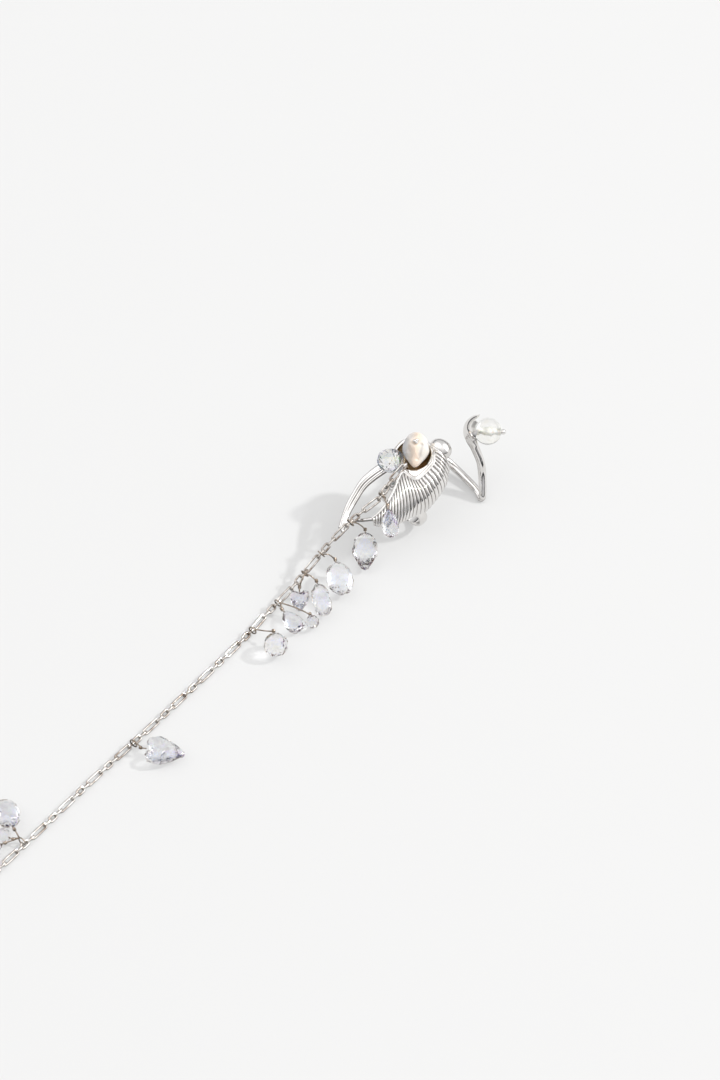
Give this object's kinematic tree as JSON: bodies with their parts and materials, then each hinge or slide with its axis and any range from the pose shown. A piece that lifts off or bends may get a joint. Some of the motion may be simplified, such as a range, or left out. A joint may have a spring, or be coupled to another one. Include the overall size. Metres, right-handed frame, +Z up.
{
  "type": "nail ring",
  "caption": "Fingertip ring with a ribbed shell on a hoop, a curled arm, two pearls, a faceted rondelle and a fancy chain with crystal drops.",
  "frame": {"origin": "under the middle of the whole thing, on the surface it lies on", "axes": "+Z up, +X along the chain from its free end to the fingertip end, +Y to the far side of the shell"},
  "size_m": [0.1968, 0.0334, 0.0247],
  "materials": {
    "ring_frame": "polished rhodium-silver",
    "baroque_pearl": "cream pearl lustre",
    "baroque_pin": "polished",
    "crystal_rondelle": "clear, faceted",
    "tip_pearl": "white pearl lustre",
    "tip_pin": "polished",
    "chain": "polished wire, a little brownish",
    "drops": "clear, faceted, faint violet tint"
  },
  "bodies": {
    "root": {"ring_frame": "ring_frame", "baroque_pearl": "baroque_pearl", "baroque_pin": "baroque_pin", "crystal_rondelle": "crystal_rondelle", "tip_pearl": "tip_pearl", "tip_pin": "tip_pin", "chain_run_01": "chain", "chain_run_02": "chain", "chain_run_03": "chain", "chain_run_04": "chain", "chain_run_05": "chain", "chain_run_06": "chain", "chain_run_07": "chain", "chain_run_08": "chain", "chain_run_09": "chain", "chain_run_10": "chain", "chain_run_11": "chain", "chain_run_12": "chain", "chain_run_13": "chain", "chain_run_14": "chain", "chain_run_15": "chain", "chain_link_01": "chain", "chain_link_02": "chain", "chain_link_03": "chain", "chain_link_04": "chain", "chain_link_05": "chain", "chain_link_06": "chain", "chain_link_07": "chain", "chain_link_08": "chain", "chain_link_09": "chain", "chain_link_10": "chain", "chain_link_11": "chain", "chain_link_12": "chain", "chain_link_13": "chain", "chain_link_14": "chain", "chain_link_15": "chain", "drop_hook_01": "chain", "drop_hook_02": "chain", "drop_hook_03": "chain", "drop_hook_04": "chain", "drop_hook_05": "chain", "drop_hook_06": "chain", "drop_hook_10": "chain", "drop_hook_14": "chain", "end_ring": "chain", "drop_01": "drops", "drop_02": "drops", "drop_03": "drops", "drop_04": "drops", "drop_05": "drops", "drop_06": "drops", "drop_07": "drops", "drop_08": "drops", "drop_09": "drops", "drop_10": "drops", "drop_11": "drops", "drop_12": "drops"}
  },
  "joints": []
}
